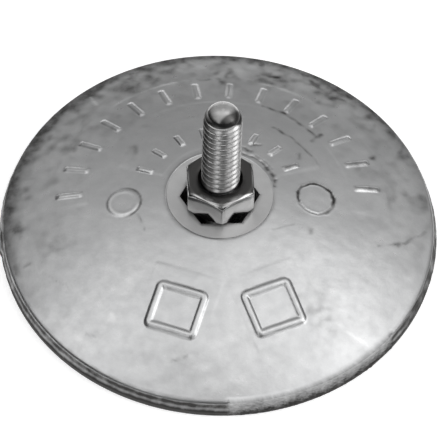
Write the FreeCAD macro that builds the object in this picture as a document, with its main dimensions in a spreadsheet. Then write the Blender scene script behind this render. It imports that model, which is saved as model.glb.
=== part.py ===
"""Round domed zinc anode, cast about a steel hub and held by a bolt and a hex nut.

Millimetres. The origin is the centre of the flat back, and +Z runs along the bolt, out of
the dome. Azimuths turn anticlockwise from +X, seen from above.
"""
import FreeCAD
import Part
import math
import os
import Sketcher

SIZES = [
    ("disc_diameter", 71.4, "disc over the ridge of its rim"),
    ("base_inset", 0.15, "edge of the flat back, in from the ridge"),
    ("ridge_height", 1.15, "parting ridge above the back"),
    ("neck_inset", 0.35, "waist of the rim, in from the ridge"),
    ("neck_rise", 0.9, "waist above the ridge"),
    ("shoulder_inset", 0.45, "edge where the dome ends, in from the ridge"),
    ("shoulder_rise", 0.95, "that edge above the waist"),
    ("shoulder_round", 0.35, "radius that softens that edge"),
    ("dome_rise", 8.0, "flat land round the pocket above the dome's edge"),
    ("dome_bulge", 0.75, "dome out from a straight cone"),
    ("gate_start", 275.0, "azimuth where the rough gate mark begins, degrees"),
    ("gate_span", 48.0, "length of the gate mark along the rim, degrees"),
    ("gate_reach", 1.0, "gate metal inwards from the shoulder"),
    ("gate_slope", 0.3, "gate metal outwards from the shoulder, at its top"),
    ("gate_foot", 0.3, "gate metal's lower edge above the back"),
    ("wrench_size", 10.7, "nut and bolt head across their flats"),
    ("pocket_clearance", 0.5, "pocket wider than a nut, across flats"),
    ("land_width", 2.2, "steel outside the pocket's corners"),
    ("hub_turn", 4.4, "turn of the pocket and of the raised marks, degrees"),
    ("floor_thickness", 2.0, "steel under the pocket"),
    ("flange_width", 1.9, "hub's foot beyond its wall"),
    ("bolt_clearance", 0.55, "hub's hole wider than the bolt"),
    ("recess_clearance", 2.8, "recess in the back wider than the bolt head's corners"),
    ("head_gap", 0.2, "bolt head short of the plane of the back"),
    ("head_height", 3.97, "bolt head"),
    ("shank_diameter", 6.25, "bolt over its thread"),
    ("pitch_diameter", 5.52, "where the threads of bolt and nut meet"),
    ("bolt_length", 29.8, "bolt under its head"),
    ("tip_diameter", 4.7, "end face of the bolt"),
    ("tip_taper", 2.7, "length over which the bolt's end tapers"),
    ("nut_height", 5.0, "nut"),
    ("nut_fit", 0.02, "nut's bore wider than the bolt inside it"),
    ("nut_gap", 0.3, "bolt's full width begins this far above the nut"),
    ("mouth_clearance", 0.95, "mouths of the nut's bore wider than the bolt"),
    ("face_share", 0.95, "round face of a hexagon as a share of its width"),
    ("face_bevel", 30.0, "bevel on a hexagon's corners, degrees"),
    ("relief_height", 0.45, "raised marks above the dome"),
    ("relief_root", 0.6, "raised marks set into the dome"),
    ("frame_stroke", 1.3, "line width of the two square frames"),
    ("frame_width", 8.8, "frame over its lines, across the radius"),
    ("frame_length", 8.0, "frame over its lines, along the radius"),
    ("frame_radius", 21.6, "middle of a frame from the axis"),
    ("frame_spacing", 42.0, "one frame to the other, degrees"),
    ("bar_width", 0.9, "every bar"),
    ("outer_bar_length", 4.2, "long bar along the radius"),
    ("outer_bar_radius", 24.5, "middle of a long bar from the axis"),
    ("outer_bar_pitch", 12.6, "one long bar to the next, degrees"),
    ("inner_bar_length", 2.8, "short bar along the radius"),
    ("inner_bar_radius", 13.3, "middle of a short bar from the axis"),
    ("inner_bar_pitch", 18.0, "one short bar to the next, degrees"),
    ("pin_diameter", 5.9, "each of the two ejector marks"),
    ("pin_radius", 15.6, "ejector mark from the axis"),
    ("pin_height", 0.15, "ejector mark above the dome"),
]
OUTER_BARS = 14
INNER_BARS = 8
SAME_PLACE = 1e-4  # mm between two edges that are taken to be one

# Sizes that follow from the sheet, as expressions.
HEX_CORNER = "(Sizes.wrench_size / 2 / cos(30))"
HEX_FACE = "(Sizes.wrench_size * Sizes.face_share / 2)"
BEVEL_DROP = f"(({HEX_CORNER} - {HEX_FACE}) * tan(Sizes.face_bevel))"
POCKET_FLAT = "((Sizes.wrench_size + Sizes.pocket_clearance) / 2)"
POCKET_CORNER = f"({POCKET_FLAT} / cos(30))"
HUB_RADIUS = f"({POCKET_CORNER} + Sizes.land_width)"
FLANGE_RADIUS = f"({HUB_RADIUS} + Sizes.flange_width)"
HUB_FOOT = "(Sizes.head_gap + Sizes.head_height)"
POCKET_FLOOR = f"({HUB_FOOT} + Sizes.floor_thickness)"
RECESS_RADIUS = f"({HEX_CORNER} + Sizes.recess_clearance / 2)"
SHANK_RADIUS = "(Sizes.shank_diameter / 2)"
HUB_BORE = f"({SHANK_RADIUS} + Sizes.bolt_clearance / 2)"
TIP_RADIUS = "(Sizes.tip_diameter / 2)"
TIP_HEIGHT = f"({HUB_FOOT} + Sizes.bolt_length)"
TIP_NARROWING = f"({SHANK_RADIUS} - {TIP_RADIUS})"
# An arc that leaves the shank along it and reaches the end face.
TIP_ARC = f"(({TIP_NARROWING}^2 + Sizes.tip_taper^2) / 2 / {TIP_NARROWING})"
MESH_RADIUS = "(Sizes.pitch_diameter / 2)"
NUT_BORE = f"({MESH_RADIUS} + Sizes.nut_fit / 2)"
NUT_MOUTH = f"({SHANK_RADIUS} + Sizes.mouth_clearance / 2)"
COUNTERSINK = f"({NUT_MOUTH} - {NUT_BORE})"
# The bevel under the nut settles on the edges of the wider pocket.
NUT_DROP = f"(max(0; {POCKET_FLAT} - {HEX_FACE}) * tan(Sizes.face_bevel))"
DISC_RADIUS = "(Sizes.disc_diameter / 2)"
SHOULDER_RADIUS = f"({DISC_RADIUS} - Sizes.shoulder_inset)"
NECK_HEIGHT = "(Sizes.ridge_height + Sizes.neck_rise)"
SHOULDER_HEIGHT = f"({NECK_HEIGHT} + Sizes.shoulder_rise)"
LAND_HEIGHT = f"({SHOULDER_HEIGHT} + Sizes.dome_rise)"
NUT_FOOT = f"({LAND_HEIGHT} - {NUT_DROP})"
THREAD_START = f"({NUT_FOOT} + Sizes.nut_height + Sizes.nut_gap)"
DOME_RUN = f"({SHOULDER_RADIUS} - {HUB_RADIUS})"
DOME_CHORD_SQUARED = f"({DOME_RUN}^2 + Sizes.dome_rise^2)"
DOME_ARC = f"({DOME_CHORD_SQUARED} / 8 / Sizes.dome_bulge + Sizes.dome_bulge / 2)"

doc = FreeCAD.newDocument("anode")
sheet = doc.addObject("Spreadsheet::Sheet", "Sizes")
for row, (alias, size, meaning) in enumerate(SIZES, start=1):
    sheet.set(f"A{row}", meaning)
    sheet.set(f"B{row}", str(size))
    sheet.setAlias(f"B{row}", alias)
doc.recompute()


def worth(expression):
    """The number that an expression over the sheet gives."""
    found = sheet.evalExpression(expression)
    return float(getattr(found, "Value", found))


def bind(thing, **rules):
    """Ties properties to expressions; a double underscore stands for a dot."""
    for name, rule in rules.items():
        thing.setExpression(name.replace("__", "."), rule)
    return thing


def place(thing, height=None, azimuth=None):
    """Lifts a thing along Z and turns it about Z, both by expressions."""
    if height:
        bind(thing, Placement__Base__z=height)
    if azimuth:
        bind(thing, Placement__Rotation__Angle=azimuth)
    return thing


def new_sketch(body, name, role):
    """An empty sketch on one of the body's own origin planes."""
    plane = next(f for f in body.Origin.OriginFeatures if f.Role == role)
    drawing = body.newObject("Sketcher::SketchObject", name)
    drawing.AttachmentSupport = [(plane, "")]
    drawing.MapMode = "FlatFace"
    return drawing


def bulging_edge(start, end, radius):
    """An arc that bulges to the right of the way from start to end."""
    chord = end - start
    depth = math.sqrt(max(radius**2 - chord.Length**2 / 4, 0))
    left = FreeCAD.Vector(-chord.y, chord.x, 0).normalize()
    centre = (start + end) / 2 + left * depth
    first = math.atan2(start.y - centre.y, start.x - centre.x)
    last = math.atan2(end.y - centre.y, end.x - centre.x)
    circle = Part.Circle(centre, FreeCAD.Vector(0, 0, 1), radius)
    return Part.ArcOfCircle(circle, first, last)


def draw_outline(drawing, corners, arcs=None):
    """Joins corners, pairs of expressions, into a closed outline.

    Edges are straight, except those that arcs gives a radius: {edge number: expression}.
    """
    arcs = arcs or {}
    base = drawing.GeometryCount
    points = [FreeCAD.Vector(worth(x), worth(y), 0) for x, y in corners]
    total = len(points)
    for edge, start in enumerate(points):
        end = points[(edge + 1) % total]
        if edge in arcs:
            drawing.addGeometry(bulging_edge(start, end, worth(arcs[edge])))
        else:
            drawing.addGeometry(Part.LineSegment(start, end))
    for edge in range(total):
        after = base + (edge + 1) % total
        drawing.addConstraint(Sketcher.Constraint("Coincident", base + edge, 2, after, 1))
    for edge, (x, y) in enumerate(corners):
        corner = base + edge
        for kind, axis, rule in (("DistanceX", -2, x), ("DistanceY", -1, y)):
            if rule == "0":
                drawing.addConstraint(Sketcher.Constraint("PointOnObject", corner, 1, axis))
                continue
            distance = Sketcher.Constraint(kind, -1, 1, corner, 1, worth(rule))
            held = drawing.addConstraint(distance)
            drawing.setExpression(f"Constraints[{held}]", rule)
    for edge, rule in arcs.items():
        held = drawing.addConstraint(Sketcher.Constraint("Radius", base + edge, worth(rule)))
        drawing.setExpression(f"Constraints[{held}]", rule)


def turned(name, corners, arcs=None, sweep="360"):
    """A body turned about Z from half a section, drawn as (radius, height) corners."""
    body = doc.addObject("PartDesign::Body", name)
    drawing = new_sketch(body, f"{name}_section", "XZ_Plane")
    draw_outline(drawing, corners, arcs)
    doc.recompute()
    turning = body.newObject("PartDesign::Revolution", f"{name}_turning")
    turning.Profile = drawing
    turning.ReferenceAxis = (drawing, ["V_Axis"])
    turning.Reversed = True
    bind(turning, Angle=sweep)
    doc.recompute()
    return body


def padded(name, outlines, height):
    """A body padded up from the XY plane; an outline within another leaves a hole."""
    body = doc.addObject("PartDesign::Body", name)
    body.AllowCompound = True
    drawing = new_sketch(body, f"{name}_plan", "XY_Plane")
    for corners in outlines:
        draw_outline(drawing, corners)
    doc.recompute()
    pad = body.newObject("PartDesign::Pad", f"{name}_pad")
    pad.Profile = drawing
    bind(pad, Length=height)
    doc.recompute()
    return body


def boolean(kind, name, members):
    """A Part::Cut or Part::Common of two things, or a Part::MultiFuse of several."""
    made = doc.addObject(kind, name)
    if kind == "Part::MultiFuse":
        made.Shapes = members
    else:
        made.Base, made.Tool = members
    doc.recompute()
    return made


def hexagon(name, corner_radius, height):
    """A hexagonal prism on the XY plane, with a corner on +X."""
    prism = doc.addObject("Part::Prism", name)
    prism.Polygon = 6
    return bind(prism, Circumradius=corner_radius, Height=height)


def hexagonal_block(name, height, inside):
    """A hexagonal block with the corners of both ends bevelled.

    inside is the section's outline nearest the axis, from the upper end to the lower.
    """
    lathe = turned(f"{name}_turned", [
        (HEX_FACE, "0"),
        (HEX_CORNER, BEVEL_DROP),
        (HEX_CORNER, f"({height} - {BEVEL_DROP})"),
        (HEX_FACE, height),
        *inside,
    ])
    prism = hexagon(f"{name}_prism", HEX_CORNER, height)
    return boolean("Part::Common", name, [prism, lathe])


def casting_blank():
    """The zinc: a flat back, a ridged rim and a shallow dome, hollow where the hub sits."""
    blank = turned("casting_blank", [
        (RECESS_RADIUS, "0"),
        (f"({DISC_RADIUS} - Sizes.base_inset)", "0"),
        (DISC_RADIUS, "Sizes.ridge_height"),
        (f"({DISC_RADIUS} - Sizes.neck_inset)", NECK_HEIGHT),
        (SHOULDER_RADIUS, SHOULDER_HEIGHT),
        (HUB_RADIUS, LAND_HEIGHT),
        (HUB_RADIUS, POCKET_FLOOR),
        (FLANGE_RADIUS, POCKET_FLOOR),
        (FLANGE_RADIUS, HUB_FOOT),
        (RECESS_RADIUS, HUB_FOOT),
    ], arcs={4: DOME_ARC})
    soften_shoulder(blank)
    return blank


def soften_shoulder(body):
    """Rounds the circular edge between the dome and the rim."""
    turning = body.Tip
    radius, height = worth(SHOULDER_RADIUS), worth(SHOULDER_HEIGHT)
    names = []
    for number, edge in enumerate(turning.Shape.Edges, start=1):
        curve = edge.Curve
        if isinstance(curve, Part.Circle) and abs(curve.Center.z - height) < SAME_PLACE:
            if abs(curve.Radius - radius) < SAME_PLACE:
                names.append(f"Edge{number}")
    rounding = body.newObject("PartDesign::Fillet", "shoulder_rounding")
    rounding.Base = (turning, names)
    bind(rounding, Radius="Sizes.shoulder_round")
    body.Tip = rounding
    doc.recompute()


def gate_mark():
    """Where the metal ran in: a sector that fills the waist, cut flush with the rim."""
    inner = f"({SHOULDER_RADIUS} - Sizes.gate_reach)"
    sector = turned("gate_mark", [
        (inner, "Sizes.gate_foot"),
        (DISC_RADIUS, "Sizes.gate_foot"),
        (DISC_RADIUS, "Sizes.ridge_height"),
        (f"({SHOULDER_RADIUS} + Sizes.gate_slope)", NECK_HEIGHT),
        (SHOULDER_RADIUS, SHOULDER_HEIGHT),
        (inner, SHOULDER_HEIGHT),
    ], sweep="Sizes.gate_span")
    return place(sector, azimuth="Sizes.gate_start")


def dome_skin(name, height):
    """A shell along the dome, from under its surface to a height above it."""
    return turned(name, [
        (HUB_RADIUS, f"({LAND_HEIGHT} - Sizes.relief_root)"),
        (SHOULDER_RADIUS, f"({SHOULDER_HEIGHT} - Sizes.relief_root)"),
        (SHOULDER_RADIUS, f"({SHOULDER_HEIGHT} + {height})"),
        (HUB_RADIUS, f"({LAND_HEIGHT} + {height})"),
    ], arcs={2: DOME_ARC})


def rectangle(middle, length, width):
    """Corners of a rectangle across +X, its middle at a distance from the axis."""
    near, far = f"({middle} - {length} / 2)", f"({middle} + {length} / 2)"
    right, left = f"(-{width} / 2)", f"({width} / 2)"
    return [(near, right), (far, right), (far, left), (near, left)]


def bar_row(name, radius, length, pitch, count):
    """A row of radial bars on a circle, its middle at the back of the dome."""
    row = padded(name, [rectangle(radius, length, "Sizes.bar_width")], TIP_HEIGHT)
    pattern = row.newObject("PartDesign::PolarPattern", f"{name}_pattern")
    pattern.Originals = [row.Tip]
    z_axis = next(f for f in row.Origin.OriginFeatures if f.Role == "Z_Axis")
    pattern.Axis = (z_axis, [""])
    pattern.Mode = "Spacing"
    pattern.Occurrences = count
    bind(pattern, Offset=pitch)
    row.Tip = pattern
    doc.recompute()
    return place(row, azimuth=f"90 + Sizes.hub_turn - {pitch} * {(count - 1) / 2}")


def square_frame(name, side):
    """A raised square outline at the front of the dome; side is -1 or 1."""
    outer = rectangle("Sizes.frame_radius", "Sizes.frame_length", "Sizes.frame_width")
    inner = rectangle(
        "Sizes.frame_radius",
        "(Sizes.frame_length - 2 * Sizes.frame_stroke)",
        "(Sizes.frame_width - 2 * Sizes.frame_stroke)",
    )
    frame = padded(name, [outer, inner], TIP_HEIGHT)
    return place(frame, azimuth=f"270 + Sizes.hub_turn + {side} * Sizes.frame_spacing / 2")


def ejector_mark(name, side):
    """A round column under one ejector mark; side is -1 or 1 along X."""
    column = doc.addObject("Part::Cylinder", name)
    bind(column, Radius="Sizes.pin_diameter / 2", Height=TIP_HEIGHT)
    bind(column, Placement__Base__x=f"{side} * Sizes.pin_radius * cos(Sizes.hub_turn)")
    bind(column, Placement__Base__y=f"{side} * Sizes.pin_radius * sin(Sizes.hub_turn)")
    return column


def raised_marks():
    """Frames and bars, cut to a shell that follows the dome."""
    outer = bar_row("outer_bars", "Sizes.outer_bar_radius", "Sizes.outer_bar_length",
                    "Sizes.outer_bar_pitch", OUTER_BARS)
    inner = bar_row("inner_bars", "Sizes.inner_bar_radius", "Sizes.inner_bar_length",
                    "Sizes.inner_bar_pitch", INNER_BARS)
    frames = [square_frame("left_frame", -1), square_frame("right_frame", 1)]
    columns = boolean("Part::MultiFuse", "mark_columns", [outer, inner, *frames])
    skin = dome_skin("relief_skin", "Sizes.relief_height")
    return boolean("Part::Common", "raised_marks", [columns, skin])


def ejector_marks():
    """The two round ejector marks, cut to a thinner shell."""
    columns = boolean("Part::MultiFuse", "pin_columns",
                      [ejector_mark("left_pin", -1), ejector_mark("right_pin", 1)])
    skin = dome_skin("pin_skin", "Sizes.pin_height")
    return boolean("Part::Common", "ejector_marks", [columns, skin])


def anode_casting():
    members = [casting_blank(), gate_mark(), raised_marks(), ejector_marks()]
    return boolean("Part::MultiFuse", "anode_casting", members)


def hub_insert():
    """The steel hub that the zinc is cast about: a hexagonal pocket and a flanged foot."""
    ring = turned("hub_ring", [
        (HUB_BORE, HUB_FOOT),
        (FLANGE_RADIUS, HUB_FOOT),
        (FLANGE_RADIUS, POCKET_FLOOR),
        (HUB_RADIUS, POCKET_FLOOR),
        (HUB_RADIUS, LAND_HEIGHT),
        (HUB_BORE, LAND_HEIGHT),
    ])
    pocket = place(hexagon("hub_pocket", POCKET_CORNER, LAND_HEIGHT),
                   height=POCKET_FLOOR, azimuth="Sizes.hub_turn")
    return boolean("Part::Cut", "hub_insert", [ring, pocket])


def hex_bolt():
    """The bolt, its head under the hub's floor and its tapered end up.

    Inside the nut it is as narrow as the thread is where the two mesh.
    """
    head = hexagonal_block("bolt_head", "Sizes.head_height",
                           [("0", "Sizes.head_height"), ("0", "0")])
    place(head, height="Sizes.head_gap", azimuth="Sizes.hub_turn")
    shank = turned("bolt_shank", [
        ("0", HUB_FOOT),
        (SHANK_RADIUS, HUB_FOOT),
        (SHANK_RADIUS, NUT_FOOT),
        (MESH_RADIUS, NUT_FOOT),
        (MESH_RADIUS, THREAD_START),
        (SHANK_RADIUS, THREAD_START),
        (SHANK_RADIUS, f"({TIP_HEIGHT} - Sizes.tip_taper)"),
        (TIP_RADIUS, TIP_HEIGHT),
        ("0", TIP_HEIGHT),
    ], arcs={6: TIP_ARC})
    return boolean("Part::MultiFuse", "hex_bolt", [head, shank])


def hex_nut():
    """The nut on the bolt, its corners over the flats of the pocket."""
    nut = hexagonal_block("hex_nut", "Sizes.nut_height", [
        (NUT_MOUTH, "Sizes.nut_height"),
        (NUT_BORE, f"(Sizes.nut_height - {COUNTERSINK})"),
        (NUT_BORE, COUNTERSINK),
        (NUT_MOUTH, "0"),
    ])
    return place(nut, height=NUT_FOOT, azimuth="Sizes.hub_turn + 30")


def check_document():
    """Stops if any object of the document failed to compute."""
    for thing in doc.Objects:
        if "Invalid" in thing.State or "Error" in thing.State:
            raise SystemExit(f"{thing.Label} failed: {thing.State}")


def write_nodes(nodes):
    """Checks each sub-part and writes it to parts/, one file to a node."""
    os.makedirs("parts", exist_ok=True)
    for node in nodes:
        shape = node.Shape
        if shape.isNull() or not shape.isValid() or len(shape.Solids) != 1:
            raise SystemExit(f"{node.Label} isn't one valid solid")
        shape.exportStep(f"parts/{node.Label}.step")
        print(f"{node.Label}: {shape.Volume:.1f} mm3, {len(shape.Faces)} faces")


nodes = [anode_casting(), hub_insert(), hex_bolt(), hex_nut()]
doc.recompute()
check_document()
write_nodes(nodes)
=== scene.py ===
"""A domed zinc anode with its steel hub, bolt and nut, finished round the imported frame.

Sizes are in millimetres until a mesh is made, and azimuths in degrees, anticlockwise from +X.
"""
import math

import bpy
import numpy as np
from mathutils import Matrix, Vector


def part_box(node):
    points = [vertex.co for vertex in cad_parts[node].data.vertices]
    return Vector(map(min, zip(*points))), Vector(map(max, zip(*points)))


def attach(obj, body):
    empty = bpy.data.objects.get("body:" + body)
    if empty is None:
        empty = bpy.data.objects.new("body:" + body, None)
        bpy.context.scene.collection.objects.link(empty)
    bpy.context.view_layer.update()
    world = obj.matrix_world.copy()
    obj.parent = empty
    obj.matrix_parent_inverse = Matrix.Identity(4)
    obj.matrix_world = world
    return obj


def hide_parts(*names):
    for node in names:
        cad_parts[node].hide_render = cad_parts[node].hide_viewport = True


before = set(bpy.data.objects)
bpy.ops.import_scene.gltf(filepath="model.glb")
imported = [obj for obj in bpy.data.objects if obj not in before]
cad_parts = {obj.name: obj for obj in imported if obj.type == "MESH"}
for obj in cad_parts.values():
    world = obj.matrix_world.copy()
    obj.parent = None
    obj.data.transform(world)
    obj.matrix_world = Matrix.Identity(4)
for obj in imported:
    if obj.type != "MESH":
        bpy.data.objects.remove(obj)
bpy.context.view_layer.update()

MM = 0.001


def node_box(node):
    """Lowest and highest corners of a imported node, in millimetres."""
    low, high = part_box(node)
    return np.array(low) / MM, np.array(high) / MM


# Sizes read from the frame.
DISC_RADIUS = node_box("anode_casting")[1][0]
LAND_HEIGHT = node_box("hub_insert")[1][2]
HUB_FOOT = node_box("hub_insert")[0][2]
FLANGE_RADIUS = node_box("hub_insert")[1][0]
HEAD_FOOT = node_box("hex_bolt")[0][2]
TIP_HEIGHT = node_box("hex_bolt")[1][2]
NUT_FOOT = node_box("hex_nut")[0][2]
NUT_TOP = node_box("hex_nut")[1][2]

# Rim and dome, as in the solids.
SHOULDER_RADIUS = DISC_RADIUS - 0.45
SHOULDER_HEIGHT = 3.0
NECK_RADIUS = DISC_RADIUS - 0.35
NECK_HEIGHT = 2.05
RIDGE_HEIGHT = 1.15
BASE_RADIUS = DISC_RADIUS - 0.15
DOME_BULGE = 0.75
EDGE_ROUND = 0.5
HUB_RADIUS = FLANGE_RADIUS - 1.9
JOINT_GAP = 0.012
GATE_START, GATE_END = 275.0, 323.0

# Hexagons, with the pocket turned a little from +X.
HUB_TURN = 4.4
WRENCH_FLAT = 10.7 / 2
POCKET_FLAT = WRENCH_FLAT + 0.25
POCKET_FLOOR = HUB_FOOT + 2.0
HUB_BORE = 3.4
RECESS_RADIUS = WRENCH_FLAT / math.cos(math.radians(30)) + 1.4
FACE_RADIUS = 0.95 * WRENCH_FLAT
HEX_BEVEL = math.radians(30)
CORNER_ROUND, POCKET_ROUND = 0.3, 0.25
EASED = 0.16  # width of the steel's eased edges

# Thread.
PITCH = 1.27
CREST_RADIUS = 3.125
THREAD_DEPTH = 0.5
# Rounded end: how far its top lies under the tip's full height, and its slope in degrees by radius.
END_FALL = 0.4
END_SLOPES = [(0.0, 0), (0.5, 9), (1.0, 20), (1.9, 29), (2.3, 44), (2.75, 62), (2.95, 72),
              (CREST_RADIUS, 86)]
END_START, END_RINGS_TO = 0.3, 2.0  # radii of its first ring and of the end of its own rings
# How far under the tip's full height the thread begins, and over how much it grows to its depth.
THREAD_START, THREAD_GROWTH = 1.1, 1.7
RINGS_PER_TURN = 20


def smooth_step(value):
    """0 up to 0, 1 from 1 on, and 3t^2 - 2t^3 between."""
    share = np.clip(value, 0, 1)
    return share * share * (3 - 2 * share)


def within(value, start, end, soft):
    """1 between start and end, falling smoothly to 0 over soft outside them."""
    rise = smooth_step((value - start) / soft + 1)
    fall = smooth_step((end - value) / soft + 1)
    return rise * fall


def turned_past(azimuth, start):
    """Degrees from start to each azimuth, from -180 to 180."""
    return (azimuth - start + 180) % 360 - 180


def read_off(value, stops):
    """A number read off straight lines through stops, each a value and its number."""
    return np.interp(value, *zip(*stops))


NOISE_WAVES = 28


def wave_noise(x, y, length, seed):
    """Even noise of about -1 to 1: a sum of plane waves near one length, in random directions."""
    draw = np.random.default_rng(seed)
    total = np.zeros(np.broadcast(x, y).shape)
    for _ in range(NOISE_WAVES):
        towards, phase = draw.uniform(0, 2 * math.pi, 2)
        step = 2 * math.pi / (length * draw.uniform(0.65, 1.6))
        total += np.sin((x * math.cos(towards) + y * math.sin(towards)) * step + phase)
    return total / math.sqrt(NOISE_WAVES)


def polar(radius, azimuth, height):
    """Points at a radius, an azimuth in degrees and a height, stacked on a last axis."""
    angle = np.radians(azimuth)
    x, y = radius * np.cos(angle), radius * np.sin(angle)
    return np.stack(np.broadcast_arrays(x, y, height), axis=-1)


def rings_through(azimuth, profile):
    """Rings through (radius, height) places, each a number or one to each azimuth."""
    return np.stack([polar(radius, azimuth, height) for radius, height in profile])


def spread(start, end, steps):
    """Even values from start up to, but without, end."""
    return np.linspace(start, end, steps, endpoint=False)


def straight(start, end, steps):
    """Points on a line from start up to, but without, end: a + (b - a)t."""
    share = spread(0, 1, steps)[:, None]
    return np.array(start) + (np.array(end) - np.array(start)) * share


def bend(start, corner, end, steps):
    """Points round a corner: (1-t)^2 a + 2t(1-t) b + t^2 c, without the last."""
    share = spread(0, 1, steps)[:, None]
    first, middle, last = np.array(start), np.array(corner), np.array(end)
    return (1 - share) ** 2 * first + 2 * share * (1 - share) * middle + share**2 * last


def ring_surface(name, rings, looped, sharp, fields=None):
    """A closed surface from rings of points, an array of ring, column and x, y, z.

    Rings turn anticlockwise seen from above and follow each other outwards over the top, down
    and inwards underneath, so that the faces look out. Looped joins the last ring to the first;
    otherwise a point in the middle of each end ring closes it with a fan. Edges sharper than
    sharp degrees stay sharp. fields are named numbers, one to each point of the rings.
    """
    count, columns = rings.shape[:2]
    points = rings.reshape(-1, 3)
    here = np.arange(count * columns).reshape(count, columns)
    beside = np.roll(here, -1, axis=1)
    fans = []
    if looped:
        below, below_beside = np.roll(here, -1, axis=0), np.roll(beside, -1, axis=0)
        quads = np.stack([here, below, below_beside, beside], axis=-1)
    else:
        quads = np.stack([here[:-1], here[1:], beside[1:], beside[:-1]], axis=-1)
        points = np.vstack([points, rings[0].mean(axis=0), rings[-1].mean(axis=0)])
        top, foot = np.full(columns, count * columns), np.full(columns, count * columns + 1)
        fans = np.vstack([np.stack([top, here[0], beside[0]], axis=-1),
                          np.stack([foot, beside[-1], here[-1]], axis=-1)]).tolist()
    mesh = bpy.data.meshes.new(name)
    mesh.from_pydata((points * MM).tolist(), [], quads.reshape(-1, 4).tolist() + fans)
    for field, values in (fields or {}).items():
        layer = mesh.attributes.new(field, "FLOAT", "POINT")
        full = np.zeros(len(points), np.float32)
        full[:values.size] = values.ravel()
        layer.data.foreach_set("value", full)
    mesh.shade_smooth()
    mesh.set_sharp_from_angle(angle=math.radians(sharp))
    piece = bpy.data.objects.new(name, mesh)
    bpy.context.scene.collection.objects.link(piece)
    return piece


def dress(piece, node, finish):
    """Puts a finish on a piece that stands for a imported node, and carries it with the body."""
    piece.data.materials.append(finish)
    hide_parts(node)
    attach(piece, "root")


# Zinc disc: the dome, its raised marks, the rim and the hollow for the hub.

def dome_height(radius):
    """Height of the dome: a circle's arc from the land to the shoulder, bulging upwards."""
    run, fall = SHOULDER_RADIUS - HUB_RADIUS, LAND_HEIGHT - SHOULDER_HEIGHT
    chord = math.hypot(run, fall)
    arc = chord**2 / 8 / DOME_BULGE + DOME_BULGE / 2
    middle_r = (SHOULDER_RADIUS + HUB_RADIUS) / 2 - fall / chord * (arc - DOME_BULGE)
    middle_z = (LAND_HEIGHT + SHOULDER_HEIGHT) / 2 - run / chord * (arc - DOME_BULGE)
    return middle_z + np.sqrt(arc**2 - (radius - middle_r) ** 2)


def box_distance(x, y, length, width, corner):
    """Distance outside a rectangle with rounded corners, negative inside it."""
    over_x = np.abs(x) - length / 2 + corner
    over_y = np.abs(y) - width / 2 + corner
    outside = np.hypot(np.maximum(over_x, 0), np.maximum(over_y, 0))
    return outside + np.minimum(np.maximum(over_x, over_y), 0) - corner


def at_mark(radius, azimuth, mark_radius, mark_azimuth):
    """Along and across places from a mark's middle, on the plan."""
    angle = np.radians(turned_past(azimuth, mark_azimuth))
    return radius * np.cos(angle) - mark_radius, radius * np.sin(angle)


def bead(distance, half_width):
    """A rounded ridge: 0 at its edge, 1 in the middle, as (1 - (1 - s)^2)^0.8."""
    share = np.clip(-distance / half_width, 0, 1)
    return (1 - (1 - share) ** 2) ** 0.8


BAR_HEIGHT, BAR_WIDTH, BAR_CORNER = 0.27, 1.1, 0.2
OUTER_BARS = {"count": 14, "pitch": 12.6, "radius": 24.5, "length": 4.2}
INNER_BARS = {"count": 8, "pitch": 18.0, "radius": 13.3, "length": 2.8}
FRAME_RADIUS, FRAME_SPACING = 21.6, 42.0
FRAME_LENGTH, FRAME_WIDTH, FRAME_STROKE = 8.0, 8.8, 1.3
FRAME_HEIGHT, FRAME_CORNER = 0.34, 0.5
PIN_RADIUS, PIN_DIAMETER = 15.6, 5.9
PAD_HEIGHT, PAD_HOLLOW = 0.16, 0.05
GROOVE_DEPTH, GROOVE_LIP = 0.15, 0.04
# The mould's panels: rings as (inner, outer radius, first, last azimuth from behind the bolt,
# soft ends), and blocks round the frames as (azimuth, places across it where they start and end).
PANEL_RINGS = [(21.6, 27.7, -93, 86, 2.5), (10.2, 17.8, -66, 62, 4)]
PANEL_BLOCKS = [(253.0, -5.3, 5.6), (297.0, -5.6, 5.6)]
PANEL_BLOCK_RADIUS, PANEL_BLOCK_START, PANEL_BLOCK_END = 20.4, -5.2, 6.6
RING_STEP, BLOCK_STEP = 0.07, 0.05


def raised_bars(radius, azimuth):
    """Rows of radial bars with rounded backs, centred behind the bolt, in millimetres of height."""
    height = np.zeros(np.broadcast(radius, azimuth).shape)
    for row in (OUTER_BARS, INNER_BARS):
        first = 90 + HUB_TURN - row["pitch"] * (row["count"] - 1) / 2
        for number in range(row["count"]):
            place = at_mark(radius, azimuth, row["radius"], first + number * row["pitch"])
            edge = box_distance(*place, row["length"], BAR_WIDTH, BAR_CORNER)
            height = np.maximum(height, BAR_HEIGHT * bead(edge, BAR_WIDTH / 2))
    return height


def raised_frames(radius, azimuth):
    """Two square outlines in front of the bolt, with rounded backs, in millimetres of height."""
    height = np.zeros(np.broadcast(radius, azimuth).shape)
    for side in (-1, 1):
        middle = 270 + HUB_TURN + side * FRAME_SPACING / 2
        place = at_mark(radius, azimuth, FRAME_RADIUS, middle)
        centre_line = box_distance(*place, FRAME_LENGTH - FRAME_STROKE,
                                   FRAME_WIDTH - FRAME_STROKE, FRAME_CORNER)
        edge = np.abs(centre_line) - FRAME_STROKE / 2
        height = np.maximum(height, FRAME_HEIGHT * bead(edge, FRAME_STROKE / 2))
    return height


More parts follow.
